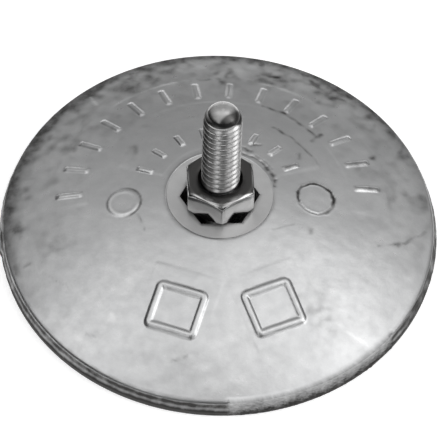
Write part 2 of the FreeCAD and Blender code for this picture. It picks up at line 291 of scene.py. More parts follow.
def ejector_marks(radius, azimuth):
    """Height and painted shade of two round marks: the left a low pad, the right a thin groove.

    The pad is a little hollow. It has a painted shadow line at its edge towards the hub and a painted
    highlight inside the far edge. The groove has a low lip, and painted shade in it comes and goes on the
    way round. left and right are distances outside the marks' outlines.
    """
    left_x, left_y = at_mark(radius, azimuth, PIN_RADIUS, 180 + HUB_TURN)
    left = np.hypot(left_x, left_y) - PIN_DIAMETER / 2 + 0.2
    right_x, right_y = at_mark(radius, azimuth, PIN_RADIUS, HUB_TURN)
    wander = 0.09 * wave_noise(right_x, right_y, 1.7, seed=41)
    right = np.hypot(right_x, right_y) - PIN_DIAMETER / 2 + wander
    pad = PAD_HEIGHT * smooth_step((-left + 0.1) / 0.55) - PAD_HOLLOW * smooth_step((-left - 0.6) / 0.5)
    groove = GROOVE_LIP * bead(np.abs(right) - 0.5, 0.3) - GROOVE_DEPTH * bead(np.abs(right) - 0.16, 0.16)
    turn = np.radians(azimuth * 9)
    broken = np.clip(0.6 + 0.4 * np.sin(turn) + 0.3 * np.sin(2.3 * turn + radius), 0.1, 1)
    # Painted shade in the groove, a painted shadow line at the pad's hub side and a painted highlight
    # inside its far edge.
    dark = broken * bead(np.abs(right) - 0.32, 0.28)
    dark = dark + 0.7 * bead(np.abs(left - 0.1) - 0.26, 0.24) * smooth_step(0.35 - left_x / 3)
    dark = dark - 0.55 * bead(np.abs(left + 0.55) - 0.35, 0.33) * smooth_step(0.1 + left_x / 2)
    return pad + groove, dark


def panel_lines(radius, azimuth, x, y):
    """Faint steps that the mould's loose panels leave, fading in and out along their edges."""
    past = turned_past(azimuth, 90 + HUB_TURN)
    rings = [within(radius, inner, outer, 0.4) * within(past, first, last, soft)
             for inner, outer, first, last, soft in PANEL_RINGS]
    blocks = []
    for middle, start, end in PANEL_BLOCKS:
        along, across = at_mark(radius, azimuth, PANEL_BLOCK_RADIUS, middle)
        beside = within(across, start, end, 0.5)
        blocks.append(beside * within(along, PANEL_BLOCK_START, PANEL_BLOCK_END, 0.5))
    strength = 0.5 + 0.5 * wave_noise(x, y, 11.0, seed=11)
    raised = np.maximum(RING_STEP * np.maximum.reduce(rings), BLOCK_STEP * np.maximum.reduce(blocks))
    return strength * raised


def line_distance(x, y, start, end):
    """Distance on the plan from a straight line between two places."""
    run_x, run_y = end[0] - start[0], end[1] - start[1]
    share = ((x - start[0]) * run_x + (y - start[1]) * run_y) / (run_x**2 + run_y**2)
    share = np.clip(share, 0, 1)
    return np.hypot(x - start[0] - share * run_x, y - start[1] - share * run_y)


def path_distance(x, y, points):
    """Distance on the plan from a line through several places."""
    runs = [line_distance(x, y, start, end) for start, end in zip(points, points[1:])]
    return np.minimum.reduce(runs)


# Tears of the zinc's lip as (points, width, strength) on the plan.
TEARS = [
    ([(3.0, 8.9), (5.0, 8.2), (6.6, 7.2), (7.6, 6.1), (8.3, 4.9), (8.75, 3.5), (8.95, 2.2)], 0.24, 0.8),
    ([(7.5, 6.2), (8.25, 4.9), (8.7, 3.8)], 0.42, 0.9),
    ([(5.6, 8.5), (7.3, 7.3), (8.3, 6.0)], 0.16, 0.5),
    ([(3.6, 9.9), (4.6, 9.6)], 0.36, 0.85),
    ([(4.7, 10.7), (5.4, 11.2), (6.2, 11.2)], 0.26, 0.8),
]
TEAR_DEPTH = 0.25


def crevice(x, y):
    """How torn the zinc's lip beside the hub is, behind it on the right; 0 to 1."""
    wander = 0.14 * wave_noise(x, y, 2.6, seed=5)
    torn = np.zeros(x.shape)
    for points, width, strength in TEARS:
        near = np.exp(-(path_distance(x + wander, y - wander, points) / width) ** 2)
        torn = np.maximum(torn, strength * near)
    return torn * np.clip(0.75 + 0.45 * wave_noise(x, y, 1.5, seed=8), 0.15, 1)


# Stains as (x, y, size, strength) on the plan, and scratches as (points, width, strength).
# A negative strength is brighter than the skin.
STAINS = [
    (-13.9, 30.0, 4.2, 0.4), (-14.3, 9.8, 0.9, 0.45), (-29.3, 14.7, 1.8, 0.3), (-31.8, 4.0, 1.0, 0.4),
    (-33.2, 5.0, 0.8, 0.35), (0.8, 29.2, 1.9, 0.65), (8.1, 29.9, 1.5, 0.65), (5.7, 28.0, 1.4, 0.35),
    (9.8, 27.0, 1.1, 0.4), (14.6, 29.6, 1.4, 0.8), (18.2, 25.7, 1.9, 0.7), (24.8, 12.8, 0.6, 0.6),
    (12.7, 9.8, 0.5, 0.45), (30.9, 5.2, 2.2, 0.25), (-32.3, -4.0, 0.9, 0.4), (-32.7, -2.8, 0.9, 0.3),
    (-26.7, -7.7, 2.0, 0.22), (-30.5, -10.5, 0.6, 0.45), (-32.4, -11.2, 0.8, 0.35), (14.9, -5.3, 0.5, 0.35),
    (-5.0, -28.4, 1.6, 0.1), (-3.1, -31.1, 1.6, 0.1), (-16.6, -21.6, 0.8, -0.4), (29.1, -4.4, 0.5, 0.45),
    (17.0, -19.0, 3.0, 0.18), (-19.0, 22.0, 6.0, 0.14), (-27.0, 18.0, 5.0, 0.14), (-8.0, 31.0, 3.0, 0.2),
    (-21.5, 27.0, 2.2, 0.3), (-29.0, 19.5, 1.8, 0.25), (-16.0, 26.0, 1.6, 0.2), (-24.5, 12.0, 1.4, 0.18),
    (23.5, 20.5, 1.6, 0.2), (28.0, 15.0, 2.2, 0.14), (12.0, 22.5, 1.5, 0.2), (-23.0, 25.0, 3.0, 0.15),
]
SCRATCHES = [
    ([(-22.2, 24.4), (-21.1, 22.0)], 0.22, -0.7), ([(14.9, 13.8), (16.3, 15.6)], 0.32, 0.75),
    ([(-20.5, -23.8), (-18.6, -24.5)], 0.2, 0.2), ([(25.8, -5.6), (30.4, -3.6), (33.8, -0.3)], 0.22, 0.4),
    ([(8.8, -6.1), (12.0, -4.7)], 0.2, 0.22), ([(-4.5, 27.5), (-0.8, 27.9)], 0.32, 0.5),
    ([(20.0, -20.9), (22.3, -22.2), (24.9, -23.3)], 0.26, -0.6),
    ([(-13.1, -3.7), (-11.8, -6.7)], 0.2, 0.28),
    ([(-6.5, -28.9), (-4.2, -28.1)], 0.2, 0.2), ([(-28.0, -12.5), (-23.5, -15.8)], 0.16, 0.12),
    ([(6.6, 20.9), (10.2, 19.6), (13.6, 16.7), (15.4, 14.9)], 0.26, 0.7),
    ([(8.4, 15.8), (11.6, 13.6), (14.7, 10.3)], 0.22, 0.6),
]


def stain_field(x, y):
    """Darkness of the skin, about -1 to 1: named stains of uneven outline, scratches and mottling."""
    shift_x, shift_y = wave_noise(x, y, 2.4, seed=21), wave_noise(x, y, 2.4, seed=24)
    dark = np.zeros(x.shape)
    for stain_x, stain_y, size, strength in STAINS:
        away = np.hypot(x - stain_x + 0.5 * size * shift_x, y - stain_y + 0.5 * size * shift_y)
        dark += strength * np.exp(-(away / size) ** 2)
    broken = np.clip(0.75 + 0.4 * wave_noise(x, y, 2.2, seed=25), 0.15, 1.1)
    for points, width, strength in SCRATCHES:
        away = path_distance(x + 0.12 * shift_x, y + 0.12 * shift_y, points)
        dark += strength * broken * np.exp(-(away / width) ** 2)
    mottle = wave_noise(x, y, 6.5, seed=22) + 0.9 * wave_noise(x, y, 2.4, seed=23)
    spots = np.maximum(wave_noise(x, y, 3.4, seed=26) - 1.3, 0)
    outwards = smooth_step((np.hypot(x, y) - 16) / 18)
    behind = 0.2 + 0.8 * smooth_step((y + 14) / 24)
    return 1.15 * dark + (0.15 * mottle + 0.45 * spots) * outwards * behind


DISC_COLUMNS = 704
# How much closer its columns are through the bars and the frames, which reach 34 degrees each way.
CLOSER_AT_BARS, CLOSER_AT_FRAMES, FRAMES_REACH = 0.5, 0.9, 34


def dome_columns():
    """Azimuths of the disc's columns, closer together through the raised marks."""
    step = 0.05
    fine = np.arange(0, 360, step)
    weight = np.ones(fine.size)
    past = np.abs(turned_past(fine, 90 + HUB_TURN))
    weight += CLOSER_AT_BARS * (past < OUTER_BARS["pitch"] * OUTER_BARS["count"] / 2)
    weight += CLOSER_AT_FRAMES * (np.abs(turned_past(fine, 270 + HUB_TURN)) < FRAMES_REACH)
    passed = np.concatenate([[0], np.cumsum(weight)])
    share = np.linspace(0, passed[-1], DISC_COLUMNS, endpoint=False)
    return np.interp(share, passed, np.arange(passed.size) * step)


MARKS_FROM, MARKS_TO = 11.4, 27.2  # radii between which the dome has its closest rings
JOINT = HUB_RADIUS + JOINT_GAP
LIP_WIDTH = 0.2


def disc_profile():
    """The disc's rings as radius and height, and how many of them make the dome and the rim."""
    start, finish = JOINT + LIP_WIDTH, SHOULDER_RADIUS - EDGE_ROUND
    wide = np.concatenate([spread(start, MARKS_FROM, 13), spread(MARKS_FROM, MARKS_TO, 70),
                           spread(MARKS_TO, finish, 24)])
    dome = np.stack([wide, dome_height(wide)], axis=-1)
    edge = (SHOULDER_RADIUS, SHOULDER_HEIGHT)
    wall_top = (SHOULDER_RADIUS + 0.02, SHOULDER_HEIGHT - EDGE_ROUND)
    neck = (NECK_RADIUS, NECK_HEIGHT)
    ridge = (DISC_RADIUS, RIDGE_HEIGHT)
    ridge_edge = (DISC_RADIUS + 0.01, RIDGE_HEIGHT - 0.12)
    under_ridge = (DISC_RADIUS - 0.02, RIDGE_HEIGHT - 0.2)
    eased, level = 0.1, 0.4  # the back's edges, and the rings beside them that keep it flat
    foot = (BASE_RADIUS, eased)
    rim = np.vstack([
        bend((finish, dome_height(finish)), edge, wall_top, 7),
        straight(wall_top, neck, 3),
        straight(neck, ridge, 4),
        bend(ridge, ridge_edge, under_ridge, 3),
        straight(under_ridge, foot, 3),
    ])
    # The back, then up the hollow that the hub fills to the zinc's lip.
    lip_fall = dome_height(JOINT) - dome_height(JOINT + LIP_WIDTH)
    back = np.array([
        foot, (BASE_RADIUS - eased, 0), (BASE_RADIUS - level, 0),
        (RECESS_RADIUS + level, 0), (RECESS_RADIUS + eased, 0), (RECESS_RADIUS, eased),
        (RECESS_RADIUS, HUB_FOOT), (FLANGE_RADIUS, HUB_FOOT), (FLANGE_RADIUS, POCKET_FLOOR),
        (JOINT, POCKET_FLOOR), (JOINT, LAND_HEIGHT - 0.4), (JOINT, LAND_HEIGHT - 0.06),
        (JOINT + 0.06, dome_height(JOINT) - lip_fall * 0.3 - 0.02),
    ])
    return np.vstack([dome, rim, back]), len(dome), len(rim)


GATE_SOFT = 1.5
GATE_PROFILE = [(0, BASE_RADIUS), (0.3, DISC_RADIUS), (RIDGE_HEIGHT, DISC_RADIUS),
                (NECK_HEIGHT, SHOULDER_RADIUS + 0.3), (SHOULDER_HEIGHT, SHOULDER_RADIUS)]
GATE_ROUGHNESS = 0.05
CHIP_DEPTH = 0.03
FLASH_AZIMUTH, FLASH_HALF_LENGTH, FLASH_WIDTH = 187.2, 2.6, 0.22  # degrees, degrees, mm
# Painted shade up the rim's wall and up the gate, as (height, darkness): darker towards the foot, with a
# lighter band above the ridge on the wall.
RIM_SHADE = [(0, 1.35), (1.0, 1.25), (1.4, 1.0), (1.65, 0.6), (1.9, 0.55), (2.1, 0.95), (2.6, 0.98),
             (2.8, 0.5), (3.0, 0.12)]
GATE_SHADE = [(0, 1.35), (0.6, 1.2), (1.2, 0.95), (1.8, 0.7), (2.6, 0.52), (3.0, 0.38)]
DARK_EDGE_FROM = 2.2  # height above which the rim shares the painted shade of the dome's edge


def gate_share(azimuth, soft):
    """1 along the gate, falling smoothly to 0 over soft degrees past its ends."""
    return within(turned_past(azimuth, GATE_START), 0, GATE_END - GATE_START, soft)


def rim_relief(radius, azimuth, height, x, y, rough):
    """How far the rim's wall is moved out: the filled, rough gate, small chips and a nub of flash.

    Chips are deepest halfway up the wall, as sin(pi height / shoulder height).
    """
    gate = gate_share(azimuth, GATE_SOFT)
    filled = np.maximum(read_off(height, GATE_PROFILE) - radius, 0)
    below_edge = smooth_step((SHOULDER_HEIGHT - 0.35 - height) / 0.8)
    filled = gate * (filled - GATE_ROUGHNESS * (1 + rough) * below_edge)
    chips = (1 - gate) * CHIP_DEPTH * wave_noise(x, y, 2.0, seed=33)
    chips = chips * np.sin(math.pi * np.clip(height / SHOULDER_HEIGHT, 0, 1))
    along = within(turned_past(azimuth, FLASH_AZIMUTH), -FLASH_HALF_LENGTH, FLASH_HALF_LENGTH, 1.0)
    up_wall = within(height, 0.4, 1.9, 0.5)
    return filled + chips + FLASH_WIDTH * along * up_wall


def behind_bolt(azimuth):
    """1 behind the bolt, a little to its left, falling smoothly to 0 in front of it."""
    return smooth_step((np.sin(np.radians(azimuth - 20)) + 0.35) / 0.9)


def back_shade(radius, azimuth):
    """Darkness of the dome behind the bolt, growing over 3.2 mm towards its edge."""
    return 0.95 * behind_bolt(azimuth) * smooth_step((radius - SHOULDER_RADIUS + 3.4) / 3.2) ** 1.4


def most_grime_and_shade(radius):
    """The darkest that the dome may be: 1.3, and 0.8 near its edge."""
    return 1.3 - 0.5 * smooth_step((radius - SHOULDER_RADIUS + 4.5) / 2)


def dome_grime_and_shade(radius, azimuth, x, y, marks, torn, pin_shade_and_highlight):
    """Darkness of the dome: stains, the pin marks' painted shade and highlight, painted shade in the tears
    and along the joint, the painted shade behind and painted shade dulling the right bars.
    """
    # Painted shade along the joint round the hub, stronger at the left.
    at_left = within(turned_past(azimuth, 190), -60, 40, 40)
    joint = 0.34 + 0.25 * at_left + 0.14 * wave_noise(x, y, 5.0, seed=36)
    joint = joint * np.exp(-((radius - JOINT) / 0.4) ** 2)
    # Stains, with painted shade at the pin marks, in the tears, along the joint and behind.
    dark = stain_field(x, y) + pin_shade_and_highlight + 0.95 * torn + joint + back_shade(radius, azimuth)
    # Painted shade on the bars at the right, dulling their highlights.
    at_right = within(turned_past(azimuth, 8), -14, 22, 12)
    shaded_right_bars = 0.5 * np.minimum(marks / BAR_HEIGHT, 1) * at_right
    return np.minimum(dark, most_grime_and_shade(radius)) + shaded_right_bars


def rim_painted_shade(azimuth, height, x, y, rough):
    """Painted shade on the rim's wall and on the gate by height, the wall's darker at the right."""
    at_right = within(turned_past(azimuth, 0), -25, 35, 20)
    wall = read_off(height, RIM_SHADE)
    # Painted shade just under the shoulder at the right.
    wall = np.maximum(wall, 0.9 * at_right * smooth_step((SHOULDER_HEIGHT - height) / 0.15))
    wall = wall + 0.05 * wave_noise(x, y, 2.5, seed=34)
    gate = gate_share(azimuth, GATE_SOFT)
    return wall * (1 - gate) + (read_off(height, GATE_SHADE) + 0.06 * rough) * gate


def edge_painted_shade(radius, azimuth, x, y):
    """Painted shade at the dome's edge: a line, wider and darker behind and none at the gate, and the
    painted shade behind.
    """
    behind = behind_bolt(azimuth)
    uneven = np.clip(1.1 + 0.35 * wave_noise(x, y, 3.5, seed=35), 0.65, 1.8)
    width = (0.05 + 0.35 * behind) * uneven
    line = (0.15 + 0.85 * behind) * smooth_step((radius - SHOULDER_RADIUS + width + 0.15) / 0.4)
    line = line * (1 - gate_share(azimuth, 4))
    return np.maximum(line, np.minimum(back_shade(radius, azimuth), most_grime_and_shade(radius)))


def zinc_disc():
    """The casting: rings over the dome, round the rim, across the back and up the hollow.

    Each ring is a radius and a height, and the marks, the gate and the skin's unevenness are
    added to them as functions of radius and azimuth.
    """
    profile, dome_rings, rim_rings = disc_profile()
    azimuth, radius = np.meshgrid(dome_columns(), profile[:, 0])
    height = np.repeat(profile[:, 1:], DISC_COLUMNS, axis=1)
    x, y = radius * np.cos(np.radians(azimuth)), radius * np.sin(np.radians(azimuth))
    on_dome, on_rim = np.zeros(height.shape), np.zeros(height.shape)
    on_dome[:dome_rings] = 1
    on_rim[dome_rings:dome_rings + rim_rings] = 1

    marks = np.maximum(raised_bars(radius, azimuth), raised_frames(radius, azimuth))
    torn = crevice(x, y)
    pins, pin_shade_and_highlight = ejector_marks(radius, azimuth)
    uneven = 0.02 * wave_noise(x, y, 7.0, seed=1) + 0.006 * wave_noise(x, y, 2.6, seed=2)
    edge_fade = smooth_step((SHOULDER_RADIUS - 0.6 - radius) / 1.2)
    relief = marks + pins + panel_lines(radius, azimuth, x, y)
    height = height + on_dome * (relief + uneven * edge_fade - TEAR_DEPTH * torn)
    rough = wave_noise(x, y + 2 * height, 0.9, seed=31) + wave_noise(x, y + 2 * height, 0.45, seed=32)
    radius = radius + on_rim * rim_relief(radius, azimuth, height, x, y, rough)

    # The darkness field holds stains and scratches, and painted shade: on the rim's wall, at the dome's
    # edge and behind, in the tears, along the joint and at the pin marks.
    grime_and_shade = on_dome * dome_grime_and_shade(radius, azimuth, x, y, marks, torn, pin_shade_and_highlight)
    grime_and_shade = grime_and_shade + on_rim * rim_painted_shade(azimuth, height, x, y, rough)
    # Painted shade along the dome's edge, carried onto the rim's top.
    dark_edge = (on_dome + on_rim * (height > DARK_EDGE_FROM)) * edge_painted_shade(radius, azimuth, x, y)
    grime_and_shade = np.where(dark_edge > 0, np.maximum(grime_and_shade, dark_edge), grime_and_shade)
    return ring_surface("zinc_disc", polar(radius, azimuth, height), looped=True, sharp=62,
                        fields={"grime_and_shade": grime_and_shade, "marks": on_dome * marks / FRAME_HEIGHT})


# Hexagons: columns that crowd at the six corners, and the radius of the outline there.

def hexagon_columns(turn, side_steps, corner_steps, corner_reach):
    """Azimuths round a hexagon whose first corner is at turn, closer together at the corners."""
    near = np.linspace(-corner_reach, corner_reach, corner_steps)
    between = np.linspace(corner_reach, 60 - corner_reach, side_steps + 2)[1:-1]
    one_side = np.concatenate([near, between])
    return np.concatenate([one_side + turn + 60 * corner for corner in range(6)])


def hexagon_radius(azimuth, turn, flat, rounding):
    """Radius of a hexagon's outline: flat / cos from a flat's middle, or the arc at a corner."""
    from_corner = np.radians(turned_past((azimuth - turn) * 6, 0) / 6)
    along_flat = flat / np.cos(math.radians(30) - np.abs(from_corner))
    centre = (flat - rounding) / math.cos(math.radians(30))
    inside = np.maximum(rounding**2 - (centre * np.sin(from_corner)) ** 2, 0)
    arc = centre * np.cos(from_corner) + np.sqrt(inside)
    return np.where(inside > 0, np.minimum(along_flat, arc), along_flat)


def bevel_drop(outline):
    """How far the bevel of a hexagonal block falls, from its face to its outline."""
    return (outline - FACE_RADIUS) * math.tan(HEX_BEVEL)


def bevelled_side(outline, top, foot):
    """Places down the side of a hexagonal block whose corners a crowned bevel takes at both ends.

    The bevel drops as the share of the way out to the outline, to the power 1.8, so that it is
    nearly level inside and steepest at the edge, which is eased.
    """
    out, drop = outline - FACE_RADIUS, bevel_drop(outline)
    bevel = [(FACE_RADIUS + out * share, top - drop * share**1.8 - 0.004)
             for share in (0.0, 0.2, 0.4, 0.6, 0.75, 0.88)]
    lower_bevel = [(FACE_RADIUS + out * share, foot + drop * share) for share in (0.9, 0.5)]
    return [
        (FACE_RADIUS - 0.1, top), *bevel,
        (outline - EASED * 0.42, top - drop - EASED * 0.08),
        (outline - EASED * 0.12, top - drop - EASED * 0.42),
        (outline, top - drop - EASED), (outline, (top + foot) / 2), (outline, foot + drop + EASED),
        *lower_bevel, (FACE_RADIUS, foot),
    ]


def steel_hub():
    """The hub: a flat land, a hexagonal pocket with eased edges, a floor with a hole and a foot."""
    azimuth = hexagon_columns(HUB_TURN, side_steps=22, corner_steps=9, corner_reach=2.0)
    mouth = hexagon_radius(azimuth, HUB_TURN, POCKET_FLAT, POCKET_ROUND)
    inner, outer = mouth + EASED, HUB_RADIUS - 0.2
    land = [(inner + (outer - inner) * share, LAND_HEIGHT) for share in (0.25, 0.5, 0.75, 1)]
    floor = [(HUB_BORE + (mouth - HUB_BORE) * share, POCKET_FLOOR) for share in (0.5, 1)]
    wall_top = LAND_HEIGHT - EASED
    wall = [(mouth, POCKET_FLOOR + (wall_top - POCKET_FLOOR) * share) for share in (0.3, 0.6, 0.9)]
    flange = FLANGE_RADIUS - 0.03
    rings = rings_through(azimuth, [
        (mouth, wall_top), (mouth + EASED * 0.3, LAND_HEIGHT - EASED * 0.3), (inner, LAND_HEIGHT), *land,
        (HUB_RADIUS - 0.04, LAND_HEIGHT - 0.002), (HUB_RADIUS, LAND_HEIGHT - 0.05),
        (HUB_RADIUS, POCKET_FLOOR), (flange, POCKET_FLOOR), (flange, HUB_FOOT),
        (HUB_BORE, HUB_FOOT), (HUB_BORE, POCKET_FLOOR), *floor, *wall,
    ])
    return ring_surface("steel_hub", rings, looped=True, sharp=38)


def hexagon_nut():
    """The nut: bevelled hexagon, countersunk mouths and a bore that clears the bolt's crests.

    The dark on its top is a painted dark reflection, left off along the edges and more widely at the front,
    and the dark inside is painted shade.
    """
    turn = HUB_TURN + 30
    azimuth = hexagon_columns(turn, side_steps=18, corner_steps=9, corner_reach=3.0)
    outline = hexagon_radius(azimuth, turn, WRENCH_FLAT, CORNER_ROUND)
    mouth, bore = CREST_RADIUS + 0.475, CREST_RADIUS + 0.03
    rings = rings_through(azimuth, [
        (mouth + 0.05, NUT_TOP), (4.3, NUT_TOP), *bevelled_side(outline, NUT_TOP, NUT_FOOT),
        (mouth, NUT_FOOT), (bore, NUT_FOOT + mouth - bore), (bore, NUT_TOP - mouth + bore),
        (mouth - 0.04, NUT_TOP - 0.07),
    ])
    radius, height = np.hypot(rings[..., 0], rings[..., 1]), rings[..., 2]
    forward = -rings[..., 1]
    # Painted dark reflection over the top face, left off along the edges and more at the front; painted
    # shade in the countersinks and bore.
    on_top = smooth_step((height - NUT_TOP + bevel_drop(outline) + 0.12) / 0.1) * (height > NUT_TOP - 1)
    bare = 0.1 + 0.25 * smooth_step((forward - 2.2) / 1.4)
    scale = smooth_step((outline - radius - bare) / 0.28) * on_top
    scale = scale * (1 - 0.16 * smooth_step((forward - 3.4) / 1.2))
    inside = 1 - smooth_step((radius - mouth) / 0.12)
    nut_reflection_and_shade = np.maximum(0.9 * scale, inside)
    return ring_surface("hexagon_nut", rings, looped=True, sharp=38, fields={"nut_reflection_and_shade": nut_reflection_and_shade})


def thread_share(phase):
    """How far up the thread's flank a point is, over one pitch: straight flanks, eased ends."""
    flank = 1 - np.abs(2 * (phase % 1) - 1)
    return smooth_step((flank - 0.04) / 0.84) * 0.2 + np.clip((flank - 0.09) / 0.76, 0, 1) * 0.8


DARK_SIDE = math.radians(318)  # the front right, where the painted shade on the bolt's end is darkest


def end_painted_shade(rings):
    """Painted shade on the bolt's rounded end: least behind, most to the front right and at its edge."""
    x, y = rings[..., 0], rings[..., 1]
    fall = TIP_HEIGHT - rings[..., 2]
    in_front, behind = smooth_step((-y - 0.3) / 0.9), smooth_step((y - 0.3) / 0.9)
    to_left = smooth_step((-x - 0.2) / 1.0)
    front_right = x * math.cos(DARK_SIDE) + y * math.sin(DARK_SIDE)
    face = 0.38 + in_front * (0.22 + 0.12 * to_left) - 0.33 * behind
    face = face + 0.5 * smooth_step((front_right - 0.7) / 0.9)
    edge = smooth_step((fall - np.where(y > 0.4, 1.35, 0.95)) / 0.3)
    reach = 2.3 + 1.1 * smooth_step((y + 2.3) / 1.5)
    return smooth_step((reach - fall) / 0.9) * np.maximum(0.9 * edge, face)


def threaded_bolt():
    """The bolt: a rounded end on which the thread begins, the shank and the hexagonal head.

    The shank's radius is the crest's, less the thread's depth where height / pitch minus the
    turn's share of a whole turn falls between two crests. Its painted darkness is painted shade
    between the crests, painted shade down the left side and painted shade on the end.
    """
    azimuth = hexagon_columns(HUB_TURN, side_steps=15, corner_steps=5, corner_reach=2.0)
    curve = np.linspace(END_START, CREST_RADIUS, 48)
    steepness = np.tan(np.radians(read_off(curve, END_SLOPES)))
    falls = (steepness[1:] + steepness[:-1]) / 2 * np.diff(curve)
    under = END_FALL + np.concatenate([[0], np.cumsum(falls)])
    end = [(radius, TIP_HEIGHT - fall) for radius, fall in zip(curve, under) if radius < END_RINGS_TO]

    height = np.arange(end[-1][1] - 0.05, HUB_FOOT, -PITCH / RINGS_PER_TURN)[:, None]
    crest = np.interp(TIP_HEIGHT - height, under, curve)
    begun = smooth_step((TIP_HEIGHT - height - THREAD_START) / THREAD_GROWTH)
    between_crests = 1 - thread_share(height / PITCH - azimuth / 360)
    shank = polar(crest - THREAD_DEPTH * begun * between_crests, azimuth, height)

    outline = hexagon_radius(azimuth, HUB_TURN, WRENCH_FLAT, CORNER_ROUND)
    head = [(CREST_RADIUS, HUB_FOOT), *bevelled_side(outline, HUB_FOOT, HEAD_FOOT),
            (FACE_RADIUS / 2, HEAD_FOOT)]
    rings = np.concatenate([rings_through(azimuth, end), shank, rings_through(azimuth, head)])
    # Painted shade: between the crests, down the left side, and on the end, least at its back.
    bolt_shade = np.zeros(rings.shape[:2])
    bolt_shade[len(end):len(end) + len(shank)] = begun * between_crests
    left_side_shade = 0.75 * smooth_step((-rings[..., 0] - 1.4) / 1.3)
    bolt_shade = np.maximum.reduce([0.38 * bolt_shade, left_side_shade, end_painted_shade(rings)])
    return ring_surface("threaded_bolt", rings, looped=False, sharp=42, fields={"bolt_shade": bolt_shade})


# Finishes. A shader tree's nodes are added with their inputs, by place or by name.

def add(tree, kind, *values, out=0, settings=None, **named):
    """A new node's output; values by place and named inputs are numbers, colours or other outputs."""
    made = tree.nodes.new("ShaderNode" + kind)
    for name, value in (settings or {}).items():
        setattr(made, name, value)
    given = [(name.replace("_", " "), value) for name, value in named.items()]
    for name, value in [*enumerate(values), *given]:
        if isinstance(value, bpy.types.NodeSocket):
            tree.links.new(value, made.inputs[name])
        elif value is not None:
            made.inputs[name].default_value = value
    return made.outputs[out]


def maths(tree, operation, *values):
    """A sum, product or like step between numbers or outputs."""
    return add(tree, "Math", *values, settings={"operation": operation})


def rescaled(tree, value, low, high, to_low, to_high):
    """value carried from one range to another, held inside it."""
    return add(tree, "MapRange", value, low, high, to_low, to_high)


def smooth_share(tree, value, low, high):
    """0 at low, 1 at high and a smooth step between; low may be the larger."""
    settings = {"interpolation_type": "SMOOTHSTEP"}
    return add(tree, "MapRange", value, low, high, 0.0, 1.0, settings=settings)


def mixed(tree, share, first, second):
    """A colour between two, which are the node's seventh and eighth inputs."""
    return add(tree, "Mix", share, *[None] * 5, first, second, out=2, settings={"data_type": "RGBA"})


def parts(tree, vector):
    """The x, y and z of a vector."""
    made = tree.nodes.new("ShaderNodeSeparateXYZ")
    tree.links.new(vector, made.inputs[0])
    return made.outputs[:]


def grey(level, warmth=0.0):
    """A neutral colour, a little warmer or cooler."""
    return (level * (1 + warmth), level, level * (1 - warmth), 1)


def metal_finish(name):
    """A metal with its shader, and the piece's own coordinates in millimetres."""
    finish = bpy.data.materials.new(name)
    finish.use_nodes = True
    tree = finish.node_tree
    shader = tree.nodes["Principled BSDF"]
    shader.inputs["Metallic"].default_value = 1.0
    place = add(tree, "TexCoord", out="Object")
    place = add(tree, "VectorMath", place, settings={"operation": "SCALE"}, Scale=1 / MM)
    return finish, tree, shader, place


def painted(tree, field):
    """A field of the surface, given to each of its points."""
    return add(tree, "Attribute", out="Fac", settings={"attribute_name": field})


def noise(tree, place, scale, detail=4.0, roughness=0.55, distortion=0.0):
    """Noise from 0 to 1, with scale grains to a millimetre."""
    return add(tree, "TexNoise", place, Scale=scale, Detail=detail, Roughness=roughness,
               Distortion=distortion)


def join(tree, shader, **outputs):
    """Joins outputs to the shader's inputs of those names."""
    for name, value in outputs.items():
        tree.links.new(value, shader.inputs[name.replace("_", " ")])


def bumped(tree, height, depth, normal=None):
    """A surface direction tilted by a height from 0 to 1, over a depth in millimetres."""
    return add(tree, "Bump", Strength=1.0, Distance=depth * MM, Height=height, Normal=normal)


def cast_zinc():
    """Bare cast zinc: clouded satin grey, fine grain, slightly worn marks, and stains with painted shade.

    A darkness field above 0 darkens and dulls the zinc, more in some patches: stains and scratches, and
    painted shade on the rim, at the dome's edge, in the tears, along the joint and at the pin marks. Below
    0 it is bare and bright, along scratches and at a painted highlight in the left pin mark.
    """
    finish, tree, shader, place = metal_finish("cast_zinc")
    cloud = noise(tree, place, 0.11, detail=5.0, distortion=0.6)
    patch = noise(tree, place, 0.55, detail=6.0, roughness=0.6)
    grain = noise(tree, place, 5.0, detail=3.0, roughness=0.7)
    tone = mixed(tree, rescaled(tree, cloud, 0.3, 0.7, 0, 1), grey(0.585, -0.008), grey(0.665, -0.004))
    tone = mixed(tree, rescaled(tree, patch, 0.35, 0.7, 0, 0.45), tone, grey(0.52, -0.01))
    tone = mixed(tree, rescaled(tree, grain, 0.4, 0.75, 0, 0.16), tone, grey(0.4))
    # Darkness field: stains and scratches mixed with painted shade and a painted highlight.
    grime_and_shade = painted(tree, "grime_and_shade")
    worn = painted(tree, "marks")
    tone = mixed(tree, rescaled(tree, worn, 0.1, 1.0, 0, 0.1), tone, grey(0.84))
    broken = maths(tree, "MULTIPLY", grime_and_shade, rescaled(tree, patch, 0.3, 0.65, 0.75, 1.2))
    tone = mixed(tree, rescaled(tree, broken, 0.0, 1.0, 0, 0.96), tone, grey(0.045, 0.04))
    bright = maths(tree, "MULTIPLY", grime_and_shade, -1.0)
    tone = mixed(tree, rescaled(tree, bright, 0.05, 1.0, 0, 0.8), tone, grey(0.92))
    dull = rescaled(tree, patch, 0.3, 0.7, 0.27, 0.36)
    dull = maths(tree, "ADD", dull, rescaled(tree, broken, 0.1, 1.0, 0, 0.3))
    surface = bumped(tree, patch, 0.03)
    surface = bumped(tree, grain, 0.004, normal=surface)
    join(tree, shader, Base_Color=tone, Roughness=dull, Normal=surface)
    return finish


